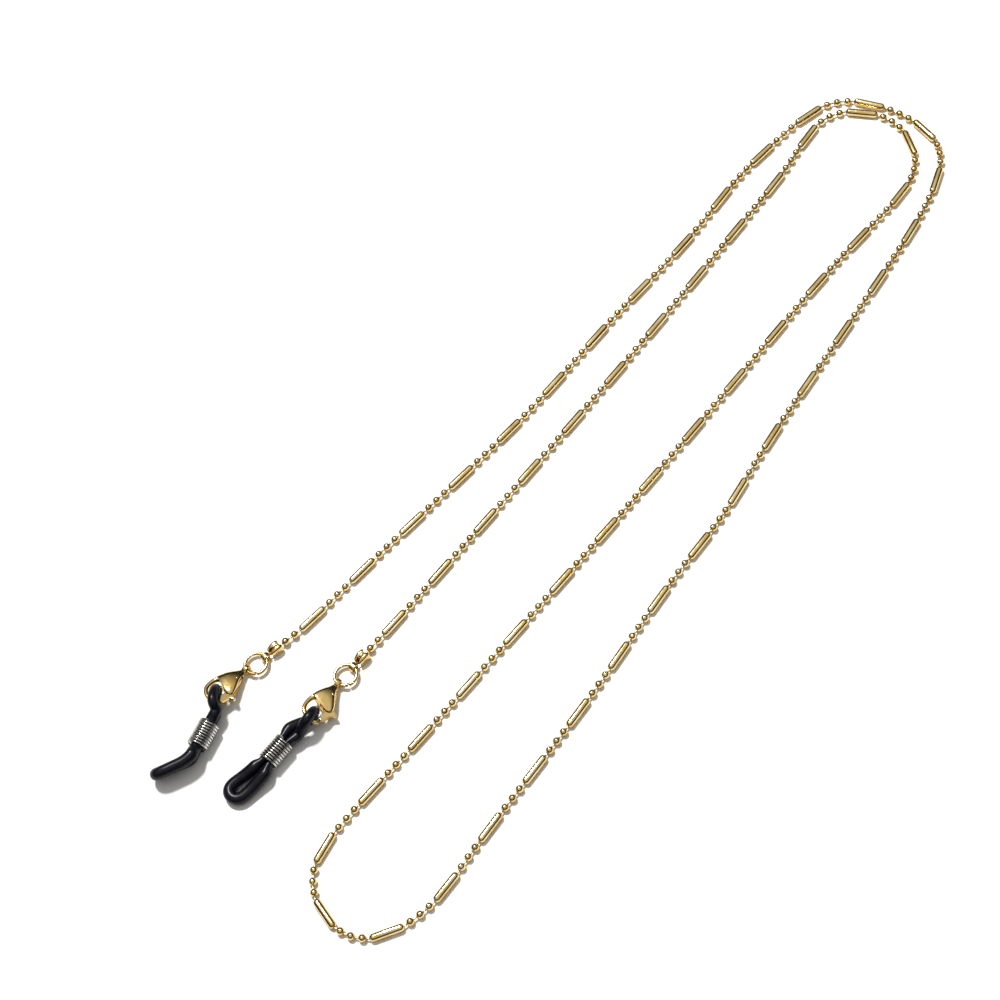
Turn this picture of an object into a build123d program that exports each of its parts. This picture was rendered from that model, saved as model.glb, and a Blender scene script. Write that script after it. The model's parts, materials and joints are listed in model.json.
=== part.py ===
from build123d import *
import math
import os

# Eyeglasses chain strap, lying on a flat surface. Millimetres, +Z up, origin under the middle.
# A bar-and-ball chain folded once, so that it lies as two long nested loops. Each end carries a
# crimp connector, a jump ring, a lobster clasp, and a rubber loop with a sliding coil.

# ---- chain ----
bead_radius = 0.75
bead_wall = 0.15
ball_pitch = 2.1            # from one ball's centre to the next
bar_length = 6.46
bar_gap = 0.47              # clear neck between a ball and a bar
bead_hole_radius = 0.28     # the hole that a link's wire passes through
link_wire_radius = 0.17
link_head_radius = 0.29
link_head_offset = 0.72     # from the middle of a link to the centre of its head
bars_total = 57
balls_between_bars = 3
bars_in_stretch = [4, 4, 4, 4, 4, 4, 4, 5, 4, 4, 4, 4, 4, 4]
root_stretch = 7

# ---- crimp connector ----
crimp_wall = 0.26
crimp_inner_half = 0.84
crimp_back = -0.95          # along the connector, from the centre of the ball it grips
crimp_front = 1.55
crimp_slot_half = 0.45
crimp_loop_x = 2.60
crimp_loop_bore = 0.60
crimp_loop_wall = 0.30
crimp_loop_half_width = 0.55

# ---- jump ring ----
ring_radius = 2.10          # centre line of the wire
ring_wire_radius = 0.35
ring_cut_deg = 3.0

# ---- lobster clasp: outlines are drawn ten units long ----
clasp_unit = 0.9
clasp_body_thickness = 2.1
clasp_hook_thickness = 0.84
hook_edge = 0.2
clasp_slot_thickness = 1.04
lever_thickness = 0.80
eye_bore = 0.60
eye_wall = 0.35
eye_half_width = 0.45
pivot = (3.1, 0.75)
pin_radius = 0.30
pin_clearance = 0.05
spring_wire_radius = 0.11

# ---- rubber loop and coil ----
lobe_radius = 1.18          # cord in the large lobe
hook_lobe_radius = 0.90     # cord where it is stretched round the hook
squeeze_half = (0.70, 1.10)  # half sizes of one strand inside the coil
squeeze_offset = 0.76
squeeze_length = 1.25       # over which the cord swells from there to its full size
squeeze_margin = 0.3        # how far the pinched stretch stands out of the coil
lobe_straight = 1.0
strand_gap = 0.10
coil_bore = 1.56
coil_wire = 0.53
coil_turns = 10
coil_length = coil_wire * coil_turns

# The chain's route, from the left end to the right end, on the surface that it lies on.
end_height = 1.10           # the end balls sit a little higher, inside their connectors
route = [
    (-48.65, 13.16, end_height), (-44.6, 12.3, 0.95), (-33.5, 11.4, bead_radius),
    (-8, 9.5, bead_radius), (5, 8.5, bead_radius), (18, 7.8, bead_radius),
    (44, 7.9, bead_radius), (70, 7.6, bead_radius), (83.5, 8.4, bead_radius),
    (96.5, 7.5, bead_radius), (109, 3.8, bead_radius), (113.9, -6.8, bead_radius),
    (111.6, -19.8, bead_radius), (100, -25.6, bead_radius), (86.5, -27.9, bead_radius),
    (60, -31, bead_radius), (34.5, -34.2, bead_radius), (21.5, -36.2, bead_radius),
    (9, -36.9, bead_radius), (-17, -39.4, bead_radius), (-44, -41.2, bead_radius),
    (-57, -42.1, bead_radius), (-70.7, -42.3, bead_radius), (-80.8, -35.6, bead_radius),
    (-77.5, -22.9, bead_radius), (-65, -20, bead_radius), (-51.5, -20.3, bead_radius),
    (-25.5, -20.6, bead_radius), (14, -20.7, bead_radius), (53, -20, bead_radius),
    (79, -19.7, bead_radius), (92.5, -20.2, bead_radius), (105.7, -18.4, bead_radius),
    (111.7, -8, bead_radius), (106.3, 2.2, bead_radius), (93, 2.3, bead_radius),
    (80, 1.3, bead_radius), (53.5, 0.2, bead_radius), (27.4, -0.6, bead_radius),
    (-11.6, -1.1, bead_radius), (-24, -1.2, bead_radius), (-36, -1.2, 0.95),
    (-40.1, -1.2, end_height), (-43, -1.2, 1.15),
]


def heading(degrees, pitch=0.0):
    turn, lift = math.radians(degrees), math.radians(pitch)
    return Vector(math.cos(turn) * math.cos(lift), math.sin(turn) * math.cos(lift), math.sin(lift))


def frame_at(origin, along, roll=0.0):
    """A plane with local X along a direction and local Z as near to up as it can be, then rolled."""
    along = along.normalized()
    side = Vector(0, 0, 1).cross(along).normalized()
    up = along.cross(side)
    angle = math.radians(roll)
    normal = up * math.cos(angle) - side * math.sin(angle)
    return Plane(origin=origin, x_dir=along, z_dir=normal)


def bead_shell(half_straight):
    """A hollow bead along Z with a small hole in each rounded end. Zero straight makes a ball."""
    inner = bead_radius - bead_wall
    outer_top = half_straight + math.sqrt(bead_radius ** 2 - bead_hole_radius ** 2)
    inner_top = half_straight + math.sqrt(inner ** 2 - bead_hole_radius ** 2)
    slant = math.radians(50)

    def arc(radius, sign):
        on_arc = (radius * math.cos(slant), 0, sign * (half_straight + radius * math.sin(slant)))
        return on_arc

    def wall(radius, top):
        low, high = (bead_hole_radius, 0, -top), (bead_hole_radius, 0, top)
        if half_straight == 0:
            return [ThreePointArc(low, (radius, 0, 0), high)]
        return [
            ThreePointArc(low, arc(radius, -1), (radius, 0, -half_straight)),
            Line((radius, 0, -half_straight), (radius, 0, half_straight)),
            ThreePointArc((radius, 0, half_straight), arc(radius, 1), high),
        ]

    edges = wall(bead_radius, outer_top) + wall(inner, inner_top)
    for sign in (-1, 1):
        edges.append(Line((bead_hole_radius, 0, sign * outer_top),
                          (bead_hole_radius, 0, sign * inner_top)))
    return revolve(make_face(edges), Axis.Z, 360).solid()


def chain_link():
    """A dumbbell of wire along Z: its heads sit inside two neighbouring beads."""
    link = Cylinder(link_wire_radius, 2 * link_head_offset)
    for sign in (-1, 1):
        link += Pos(0, 0, sign * link_head_offset) * Sphere(link_head_radius)
    return link.solid()


def walk_route():
    """Bead anchors at true chord distances: one per ball, two per bar."""
    curve = Spline(*route)

    def place(parameter):
        point = curve.position_at(parameter)
        return Vector(point.X, point.Y, max(point.Z, bead_radius))

    bar_half = bar_length / 2 - bead_radius
    neck = bar_gap + 2 * bead_radius
    pieces = ["ball"] * balls_between_bars
    for _ in range(bars_total):
        pieces += ["bar"] + ["ball"] * balls_between_bars
    anchors, where, previous = [], 0.0, None
    for kind in pieces:
        if previous is None:
            points = [place(0)]
        else:
            step = ball_pitch if kind == previous == "ball" else neck
            where = next_along(curve, where, step)
            points = [place(where)]
        if kind == "bar":
            where = next_along(curve, where, 2 * bar_half)
            points.append(place(where))
        anchors.append((kind, points))
        previous = kind
    return anchors


def next_along(curve, start, distance):
    """The curve parameter whose point is a given straight distance from the point at start."""
    origin = curve.position_at(start)
    low, high = start, start + 1.5 * distance / curve.length
    for _ in range(40):
        middle = (low + high) / 2
        if (curve.position_at(middle) - origin).length < distance:
            low = middle
        else:
            high = middle
    return high


def bead_axes(anchors):
    """Each bead's centre and direction: a bar's own axis, a ball's mean of its two sides."""
    beads = []
    for index, (kind, points) in enumerate(anchors):
        if kind == "bar":
            middle, along = (points[0] + points[1]) * 0.5, points[1] - points[0]
        else:
            before = anchors[index - 1][1][-1] if index > 0 else points[0]
            after = anchors[index + 1][1][0] if index + 1 < len(anchors) else points[0]
            middle, along = points[0], after - before
        beads.append((kind, middle, along.normalized()))
    return beads


def along_z(solid, middle, direction):
    return solid.moved(Plane(origin=middle, z_dir=direction).location)


def hole_centre(bead, side):
    """The middle of a bead's wire hole, ahead (+1) or behind (-1)."""
    kind, middle, along = bead
    reach = bead_radius - bead_wall / 2
    if kind == "bar":
        reach += bar_length / 2 - bead_radius
    return middle + along * (side * reach)


def build_chain():
    """Fourteen stretches of beads, and the pivot between each stretch and the next."""
    beads = bead_axes(walk_route())
    ball, bar, link = bead_shell(0), bead_shell(bar_length / 2 - bead_radius), chain_link()
    stretches, pivots, start = [], [], 0
    for count in bars_in_stretch:
        stop = start + count * (1 + balls_between_bars)
        if start == 0:
            stop += balls_between_bars
        stretches.append((start, stop))
        start = stop
    nodes = {}
    for number, (start, stop) in enumerate(stretches):
        name = f"chain_{number + 1:02d}"
        group = {"bars": [], "balls": [], "links": []}
        for kind, middle, along in beads[start:stop]:
            shape = bar if kind == "bar" else ball
            group[kind + "s"].append(along_z(shape, middle, along))
        # a link between two stretches belongs to the one that is nearer to the root
        first_link = start - 1 if 0 < number <= root_stretch else start
        last_link = stop if root_stretch <= number < len(stretches) - 1 else stop - 1
        for index in range(first_link, last_link):
            tail, head = hole_centre(beads[index], 1), hole_centre(beads[index + 1], -1)
            group["links"].append(along_z(link, (tail + head) * 0.5, head - tail))
        for part, solids in group.items():
            nodes[f"{name}_{part}"] = solids
        if number > 0:
            left_of_root = number <= root_stretch
            moving = beads[start - 1] if left_of_root else beads[start]
            side = 1 if left_of_root else -1
            pivots.append((f"{name}_flex", hole_centre(moving, side), moving[2]))
    return nodes, pivots, beads


def crimp_connector():
    """Folded sheet channel along X. It grips a ball at the origin and ends in a curled loop."""
    outer = crimp_inner_half + crimp_wall
    length = crimp_front - crimp_back
    middle = (crimp_front + crimp_back) / 2
    shell = Pos(middle, 0, 0) * Box(length, 2 * outer, 2 * outer)
    shell = fillet(shell.edges().filter_by(Axis.X), 0.45)
    hollow = Pos(middle, 0, 0) * Box(length - 2 * crimp_wall, 2 * crimp_inner_half, 2 * crimp_inner_half)
    shell -= fillet(hollow.edges().filter_by(Axis.X), 0.3)
    # the link's wire leaves through a slot in the back wall
    shell -= Pos(crimp_back, 0, 0) * Box(4 * crimp_wall, 2 * crimp_slot_half, 2 * crimp_slot_half)
    # two pointed flaps meet over the ball and leave a notch at each end
    for end, depth in ((crimp_back, 0.75), (crimp_front, 1.0)):
        inward = 1 if end == crimp_back else -1
        notch = make_face(Polyline((end - inward, -0.85, 0), (end - inward, 0.85, 0),
                                   (end, 0.70, 0), (end + inward * depth, 0, 0),
                                   (end, -0.70, 0), (end - inward, -0.85, 0)))
        shell -= Pos(0, 0, crimp_inner_half - 0.05) * extrude(notch, 1)
    seam = Pos(middle, 0, outer - crimp_wall / 2) * Box(length, 0.07, 2 * crimp_wall)
    shell -= seam
    curl_outer = crimp_loop_bore + crimp_loop_wall
    curl_low = curl_outer - outer       # the loop's underside is level with the channel's
    curl = Pos(crimp_loop_x, 0, curl_low) * Rot(90, 0, 0) * (
        Cylinder(curl_outer, 2 * crimp_loop_half_width)
        - Cylinder(crimp_loop_bore, 4 * crimp_loop_half_width))
    tab_length = crimp_loop_x - crimp_loop_bore - crimp_front + 0.1
    tab = Pos(crimp_front + tab_length / 2 - 0.05, 0, curl_low) * Box(
        tab_length, 2 * crimp_loop_half_width, 0.8)
    return (shell + curl + tab).solid()


def jump_ring():
    """Round wire bent to a circle about the origin, with its cut to one side."""
    section = Plane(origin=(ring_radius, 0, 0), z_dir=(0, 1, 0)) * Circle(ring_wire_radius)
    ring = revolve(section, Axis.Z, 360 - ring_cut_deg)
    return (Rot(0, 0, 60) * ring).solid()


def clasp_point(point):
    return Vector(point[0] * clasp_unit, point[1] * clasp_unit, 0)


def clasp_points(points):
    return [(x * clasp_unit, y * clasp_unit, 0) for x, y in points]


hook_outside = [(0.9, -0.75), (2.1, -1.2), (3.4, -2.0), (5.1, -2.75), (7.4, -3.15),
                (9.1, -2.75), (10.1, -1.6), (10.45, -0.3), (10.42, 0.9), (10.1, 2.0)]
hook_inside = [(9.55, 1.85), (9.55, 0.9), (9.45, -0.5), (9.15, -1.3), (8.4, -2.0),
               (7.4, -2.25), (6.3, -2.05), (5.6, -1.4)]
head_front = [(5.6, -1.4), (5.75, -0.5), (6.3, 0.4), (6.9, 1.1), (6.95, 1.9), (6.6, 2.75)]
head_side = [(6.6, 2.75), (5.6, 2.85), (4.4, 2.3), (2.8, 1.3), (0.9, 0.75)]
clasp_neck_half = 0.5        # the head's half thickness beside the eye, and where it is full
clasp_full_x = 2.7


def clasp_body():
    """Cast teardrop: a head with a slot for the lever, a hook, and an eye turned a quarter turn."""
    outside, inside, front, side = (
        clasp_points(points) for points in (hook_outside, hook_inside, head_front, head_side))
    hook_face = make_face([Spline(*outside), Line(outside[-1], inside[0]), Spline(*inside),
                           Polyline(*front), Polyline(*side), Line(side[-1], outside[0])])
    hook = extrude(hook_face, clasp_hook_thickness / 2, both=True)
    hook = chamfer(hook.edges().filter_by(Axis.Z, reverse=True), hook_edge)
    head_face = make_face([Polyline(*outside[:4], inside[-1]), Polyline(*front), Polyline(*side),
                           Line(side[-1], outside[0])])
    full = clasp_body_thickness / 2
    head = extrude(head_face, full, both=True)
    taper = make_face(Polyline((0, 0, -clasp_neck_half), (clasp_full_x, 0, -full), (8, 0, -full),
                               (8, 0, full), (clasp_full_x, 0, full), (0, 0, clasp_neck_half),
                               close=True))
    head &= extrude(taper, 5, both=True)
    body = hook + head
    eye_outer = eye_bore + eye_wall
    eye = Rot(90, 0, 0) * Cylinder(eye_outer, 2 * eye_half_width)
    body += eye + Pos(0.9, 0, 0) * Box(0.8, 2 * eye_half_width, 1.3)
    body -= Rot(90, 0, 0) * Cylinder(eye_bore, 6)
    slot = clasp_points([(1.7, -0.3), (7.6, -0.3), (7.6, 4.0), (1.7, 4.0)])
    slot_face = make_face(Polyline(*slot, close=True))
    body -= extrude(slot_face, clasp_slot_thickness / 2, both=True)
    px, py, _ = clasp_points([pivot])[0]
    body -= Pos(px, py, 0) * Cylinder(pin_radius, 4)
    return body.solid()


lever_back = [(2.35, 0.35), (2.15, 0.95), (2.6, 1.45), (4.2, 2.05), (5.4, 2.6), (5.95, 3.3),
              (6.3, 4.0), (6.75, 4.1), (7.0, 3.55), (7.3, 3.0), (8.0, 2.85), (8.75, 2.65),
              (9.15, 2.3), (9.25, 1.9)]
lever_front = [(9.1, 1.6), (8.6, 1.25), (8.0, 1.25), (7.2, 1.4), (6.4, 1.25), (5.4, 0.9),
               (4.4, 0.55), (3.8, 0.3), (3.1, 0.05), (2.35, 0.35)]


def clasp_lever():
    back, front = clasp_points(lever_back), clasp_points(lever_front)
    face = make_face([Spline(*back), Line(back[-1], front[0]), Spline(*front)])
    lever = extrude(face, lever_thickness / 2, both=True)
    px, py, _ = clasp_points([pivot])[0]
    return (lever - Pos(px, py, 0) * Cylinder(pin_radius + pin_clearance, 4)).solid()


def clasp_pin():
    px, py, _ = clasp_points([pivot])[0]
    return (Pos(px, py, 0) * Cylinder(pin_radius - 0.01, clasp_body_thickness)).solid()


def clasp_spring():
    """Wire bent to a V between the head's inner wall and the lever's heel."""
    path = FilletPolyline(*clasp_points([(4.35, 0.05), (3.2, -0.12), (1.97, -0.1), (1.9, 0.6)]),
                          radius=0.2)
    section = Plane(origin=path @ 0, z_dir=path % 0) * Circle(spring_wire_radius)
    return sweep(section, path=path).solid()


def lateral(along, roll):
    """The direction from one strand of a loop to the other: level at no roll, upright at 90."""
    side = Vector(0, 0, 1).cross(along).normalized()
    up = along.cross(side)
    angle = math.radians(roll)
    return side * math.cos(angle) + up * math.sin(angle)


def smooth_path(points):
    """Straight runs joined by tangent arcs, each as large as its two runs allow."""
    radii = []
    for before, point, after in zip(points, points[1:], points[2:]):
        turn = math.radians((point - before).get_angle(after - point))
        shorter = min((point - before).length, (after - point).length)
        radii.append(0.48 * shorter / math.tan(turn / 2))
    print("  loop bend radii", [round(radius, 1) for radius in radii])
    return FilletPolyline(*points, radius=radii)


def lobe(mouth, axis, roll, half_gap, cord_radius, straight, stations):
    """One end of a rubber loop: out of the squeeze along one strand, round, and back.

    Stations are (point, half width, roll): points on the loop's middle line. The last is its end.
    """
    first = (mouth + axis * straight, half_gap, roll)
    near, far, before = [], [], mouth - axis
    for middle, half, angle in [(mouth, half_gap, roll), first] + stations:
        across = lateral((middle - before).normalized(), angle) * half
        near.append(middle + across)
        far.append(middle - across)
        before = middle
    path = smooth_path(near + far[::-1])
    section = Plane(origin=path @ 0, z_dir=path % 0) * Circle(cord_radius)
    return sweep(section, path=path)


def rubber_loop(coil_plane, roll, hook_straight, hook_stations, large_stations):
    """A closed ring of round rubber cord, pinched where the coil holds its two strands together."""
    start, axis = coil_plane.origin, coil_plane.x_dir
    across = lateral(axis, roll)
    base = Plane(origin=start - axis * squeeze_margin, x_dir=across, z_dir=axis)
    strand = Ellipse(*squeeze_half)
    loop = Part()
    for sign in (-1, 1):
        loop += extrude(base * Pos(sign * squeeze_offset, 0) * strand, coil_length + 2 * squeeze_margin)
    # towards the hook the loop is followed backwards, which turns its roll round
    hook_stations = [(point, half, 180 - angle) for point, half, angle in hook_stations]
    lobes = ((-squeeze_margin, -axis, 180 - roll, hook_lobe_radius, hook_straight, hook_stations),
             (coil_length + squeeze_margin, axis, roll, lobe_radius, lobe_straight, large_stations))
    for along, direction, seen_roll, cord, straight, stations in lobes:
        mouth = start + axis * along
        outer = mouth + direction * squeeze_length
        gap = cord + strand_gap / 2
        loop += lobe(outer, direction, seen_roll, gap, cord, straight, stations)
        pinched = Plane(origin=mouth, x_dir=across, z_dir=axis)
        full = Plane(origin=outer, x_dir=across, z_dir=axis)
        for sign in (-1, 1):
            loop += loft([pinched * Pos(sign * squeeze_offset, 0) * strand,
                          full * Pos(sign * gap, 0) * Circle(cord)])
    return loop.solid()


def coil_slider(coil_plane):
    """Close-wound wire: a ribbed sleeve about the coil's axis."""
    middle_radius, outer_radius = coil_bore + coil_wire / 2, coil_bore + coil_wire
    edges = [Line((coil_bore, 0, 0), (coil_bore, 0, coil_length)),
             Line((coil_bore, 0, 0), (middle_radius, 0, 0)),
             Line((coil_bore, 0, coil_length), (middle_radius, 0, coil_length))]
    for turn in range(coil_turns):
        low = turn * coil_wire
        edges.append(ThreePointArc((middle_radius, 0, low), (outer_radius, 0, low + coil_wire / 2),
                                   (middle_radius, 0, low + coil_wire)))
    sleeve = revolve(make_face(edges), Axis.Z, 360).solid()
    return sleeve.moved(Plane(origin=coil_plane.origin, z_dir=coil_plane.x_dir).location)


# ---- where each end's fittings lie, from the connector outwards ----
eye_height = 1.03            # the clasps are tipped, which lifts their eyes a little
hook_lobe_end_half = 0.92    # half the gap between the strands where the cord turns back

ends = {
    "left": {
        "crimp_heading": 171.6, "ring_heading": 166.5, "ring_roll": 3, "eye_angle": -5,
        "clasp": (176, 12.4, 2),
        "coil": (-67.27, 12.15, 2.22), "coil_heading": 195, "coil_pitch": 1.5, "coil_roll": 72,
        "hook_spot": (9.8, 0.9), "hook_end": (8.0, -0.4), "hook_straight": 0.9,
        "hook_half": 2.25, "hook_roll": 88,
        "large": [(-76.3, 11.0, 2.35, 1.28, 66), (-80.0, 12.7, 2.35, 1.28, 62),
                  (-80.65, 13.05, 2.35, 0.53, 62)],
    },
    "right": {
        "crimp_heading": 179, "ring_heading": 179, "ring_roll": 3, "eye_angle": 0,
        "clasp": (190, 12, -14),
        "coil": (-61.32, -1.52, coil_bore + coil_wire), "coil_heading": 181, "coil_pitch": 0,
        "coil_roll": 0,
        "hook_spot": (9.95, -0.1), "hook_end": (8.2, -0.2), "hook_straight": 1.1,
        "hook_half": 2.16, "hook_roll": 72,
        "large": [(-71.2, -1.2, 1.4, 1.45, 0), (-74.0, -0.65, 1.2, 1.7, 0),
                  (-75.1, -0.4, 1.2, 0.75, 0)],
    },
}


def build_end(side, grip):
    """The fittings on one end of the chain, and the pivots that they turn on."""
    spec = ends[side]
    ball = Vector(grip.X, grip.Y, end_height)
    crimp_plane = frame_at(ball, heading(spec["crimp_heading"]))
    loop_drop = end_height - eye_height
    loop_centre = crimp_plane.from_local_coords(Vector(crimp_loop_x, 0, -loop_drop))
    ring_along = heading(spec["ring_heading"])
    ring_plane = frame_at(loop_centre + ring_along * ring_radius, ring_along, spec["ring_roll"])
    eye = ring_plane.from_local_coords(heading(spec["eye_angle"]) * ring_radius)
    clasp_heading, clasp_pitch, clasp_roll = spec["clasp"]
    clasp_plane = frame_at(eye, heading(clasp_heading, clasp_pitch), clasp_roll)
    spot = clasp_plane.from_local_coords(clasp_point(spec["hook_spot"]))
    coil_plane = frame_at(Vector(*spec["coil"]), heading(spec["coil_heading"], spec["coil_pitch"]))
    hook_end = clasp_plane.from_local_coords(clasp_point(spec["hook_end"]))
    hook_stations = [(spot, spec["hook_half"], spec["hook_roll"]),
                     (hook_end, hook_lobe_end_half, spec["hook_roll"])]
    large_stations = [(Vector(x, y, z), half, roll) for x, y, z, half, roll in spec["large"]]
    px, py, _ = clasp_points([pivot])[0]
    nodes = {
        "crimp_connector": crimp_connector().moved(crimp_plane.location),
        "jump_ring": jump_ring().moved(ring_plane.location),
        "clasp_body": clasp_body().moved(clasp_plane.location),
        "clasp_lever": clasp_lever().moved(clasp_plane.location),
        "clasp_spring": clasp_spring().moved(clasp_plane.location),
        "clasp_pin": clasp_pin().moved(clasp_plane.location),
        "rubber_loop": rubber_loop(coil_plane, spec["coil_roll"], spec["hook_straight"],
                                   hook_stations, large_stations),
        "coil_slider": coil_slider(coil_plane),
    }
    up = Vector(0, 0, 1)
    pivots = [
        ("connector_swing", ball, up),
        ("ring_swing", loop_centre, ring_along.cross(up)),
        ("clasp_swing", eye, clasp_plane.x_dir.cross(up).normalized()),
        ("lever_press", clasp_plane.from_local_coords(Vector(px, py, 0)), clasp_plane.z_dir * -1),
        ("loop_swing", spot, clasp_plane.x_dir.cross(up).normalized()),
        ("coil_slide", coil_plane.origin, coil_plane.x_dir),
    ]
    named = {f"{side}_{name}": [solid] for name, solid in nodes.items()}
    return named, [(f"{side}_{name}", point, axis) for name, point, axis in pivots]


def main():
    nodes, pivots, beads = build_chain()
    for side, bead in (("left", beads[0]), ("right", beads[-1])):
        end_nodes, end_pivots = build_end(side, bead[1])
        nodes.update(end_nodes)
        pivots += end_pivots
    box = Compound([solid for solids in nodes.values() for solid in solids]).bounding_box()
    centre = Vector(-box.center().X, -box.center().Y, -box.min.Z)
    os.makedirs("parts", exist_ok=True)
    for name, solids in nodes.items():
        moved = [solid.moved(Location(centre)) for solid in solids]
        shape = moved[0] if len(moved) == 1 else Compound(moved)
        export_step(shape, f"parts/{name}.step")
    print("size", [round(value, 2) for value in (box.size.X, box.size.Y, box.size.Z)])
    for name, point, axis in pivots:
        place = point + centre
        print("pivot", name, [round(v, 3) for v in (place.X, place.Y, place.Z)],
              [round(v, 5) for v in (axis.X, axis.Y, axis.Z)])


main()
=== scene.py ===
import json
import math
import random

import bmesh
import bpy
import numpy as np
from mathutils import Matrix, Vector


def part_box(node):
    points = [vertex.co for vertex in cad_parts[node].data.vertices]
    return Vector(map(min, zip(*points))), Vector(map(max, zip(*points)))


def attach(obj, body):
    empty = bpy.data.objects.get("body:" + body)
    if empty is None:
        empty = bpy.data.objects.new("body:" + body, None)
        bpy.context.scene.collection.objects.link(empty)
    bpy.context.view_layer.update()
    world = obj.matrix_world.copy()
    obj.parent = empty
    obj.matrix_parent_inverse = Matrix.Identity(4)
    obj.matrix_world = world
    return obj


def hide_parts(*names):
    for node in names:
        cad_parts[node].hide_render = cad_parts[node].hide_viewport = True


# Eyeglasses chain strap on a pale floor. Lengths in this file are millimetres until a mesh is
# made: MM turns them into Blender's metres. Every piece replaces the CAD node it stands for.

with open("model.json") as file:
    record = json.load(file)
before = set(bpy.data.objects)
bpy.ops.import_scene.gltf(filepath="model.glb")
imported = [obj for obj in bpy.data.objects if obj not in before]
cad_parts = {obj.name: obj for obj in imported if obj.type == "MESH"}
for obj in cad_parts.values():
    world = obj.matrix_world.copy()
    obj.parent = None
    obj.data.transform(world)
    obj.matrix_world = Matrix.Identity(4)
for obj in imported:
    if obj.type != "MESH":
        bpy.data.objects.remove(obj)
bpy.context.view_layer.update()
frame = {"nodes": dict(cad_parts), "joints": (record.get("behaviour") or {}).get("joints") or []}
joints = {joint["name"]: joint for joint in frame["joints"]}
MM = 0.001
UP = Vector((0, 0, 1))
random.seed(7)

# ---- sizes of the pieces ----
# The metal pieces have the CAD's sizes, apart from the coil's thinner wire (COIL_THINNING), the
# pin and small roundings. The cord has the CAD's thickness in the large lobe and in the coil. It
# is a little fuller on the clasp side (SLIM_RADII), and its route is set to the photograph.
BEAD_RADIUS, BEAD_WALL, BEAD_HOLE, BAR_LENGTH = 0.75, 0.15, 0.28, 6.46
BEAD_RIM, BEAD_SEAM = 0.07, 0.022
LINK_RADIUS, LINK_HEAD, LINK_OFFSET = 0.17, 0.29, 0.72
RING_RADIUS, RING_WIRE = 2.10, 0.35
RING_CUT_START, RING_SWEEP, RING_STEPS, RING_MISMATCH = 60.5, 357.5, 72, 0.05
CRIMP_WALL, CRIMP_HALF, CRIMP_BACK, CRIMP_FRONT = 0.26, 0.84, -0.95, 1.55
CRIMP_CORNER, CRIMP_SEAM, CRIMP_INSET = 0.46, 0.05, 0.02
CRIMP_BACK_NOTCH, CRIMP_FRONT_NOTCH = (0.55, 0.80), (1.25, 0.84)
CRIMP_LOOP_X, CRIMP_LOOP_BORE, CRIMP_LOOP_WALL, CRIMP_LOOP_HALF = 2.60, 0.60, 0.30, 0.55
CLASP_UNIT = 0.9
EYE_BORE, EYE_WALL, EYE_HALF = 0.60, 0.35, 0.45
LEVER_THICKNESS, LEVER_ROUNDING = 0.80, 0.16
SLOT_THICKNESS, HEAD_THICKNESS = 1.04, 2.1
SPRING_WIRE = 0.11
CLASP_PIVOT = (3.1, 0.75)
COIL_BORE, COIL_WIRE, COIL_TURNS = 1.56, 0.53, 10
COIL_LENGTH = COIL_WIRE * COIL_TURNS
COIL_THINNING, COIL_START, COIL_STEPS, COIL_PROUD = 0.76, 120, 40, 0.014
LOBE_CORD, HOOK_CORD, STRAND_GAP = 1.18, 1.00, 0.10
SLIM_RADII = (1.06, 1.06, 0.97, HOOK_CORD)
SQUEEZE_HALF, SQUEEZE_OFFSET, SQUEEZE_LENGTH, SQUEEZE_MARGIN = (0.70, 1.10), 0.76, 1.25, 0.3
LOBE_STRAIGHT = 0.6
HOOK_LOBE_END_HALF = 1.0
DOME = 0.98

# Each end's directions in degrees and its rubber loop's route, in the layout that the CAD draws
# before it centres the part. "large" lists (x, y, z, half width, roll) along the large lobe.
ENDS = {
    "left": {
        "crimp_heading": 171.6, "ring_heading": 166.5, "ring_roll": 3,
        "coil": (-67.27, 12.15, 2.22), "coil_heading": 195, "coil_pitch": 1.5, "coil_roll": 72,
        "hook_end": (7.6, -0.5), "hook_straight": 0.9, "hook_half": 2.25, "hook_roll": 88,
        "large": [(-75.9, 10.62, 2.35, 1.28, 66), (-77.6, 11.5, 2.35, 1.28, 64),
                  (-80.0, 12.7, 2.35, 1.28, 62), (-80.65, 13.05, 2.35, 0.53, 62)],
    },
    "right": {
        "crimp_heading": 179, "ring_heading": 179, "ring_roll": 3,
        "coil": (-61.32, -1.52, COIL_BORE + COIL_WIRE), "coil_heading": 181, "coil_pitch": 0,
        "coil_roll": 0,
        "hook_end": (8.2, -0.2), "hook_straight": 1.1, "hook_half": 2.16, "hook_roll": 72,
        "large": [(-71.2, -1.2, 1.4, 1.45, 0), (-74.0, -0.65, 1.2, 1.7, 0),
                  (-75.1, -0.4, 1.2, 0.75, 0)],
    },
}


# ---- camera ----

CAMERA_AIM = (-16.388, 12.764, 0)
CAMERA_RIGHT, CAMERA_FORWARD = (0.64447, -0.74972, -0.15023), (0.27883, 0.41338, -0.86682)
CAMERA_DISTANCE = 0.46085
FOCAL_PIXELS, PICTURE_PIXELS, SENSOR_WIDTH = 2444.2, 1000, 36


def make_camera():
    """88 mm lens, 46 cm away, looking down 60 degrees across the folded chain."""
    aim = Vector(CAMERA_AIM) * MM
    right = Vector(CAMERA_RIGHT).normalized()
    forward = Vector(CAMERA_FORWARD).normalized()
    up = right.cross(forward).normalized()
    data = bpy.data.cameras.new("camera")
    data.sensor_width = SENSOR_WIDTH
    data.lens = FOCAL_PIXELS / PICTURE_PIXELS * SENSOR_WIDTH
    data.clip_start = 0.01
    camera = bpy.data.objects.new("camera", data)
    bpy.context.scene.collection.objects.link(camera)
    rotation = Matrix((right, up, -forward)).transposed().to_4x4()
    camera.matrix_world = Matrix.Translation(aim - forward * CAMERA_DISTANCE) @ rotation
    bpy.context.scene.camera = camera


make_camera()


# ---- directions and planes ----

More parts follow.
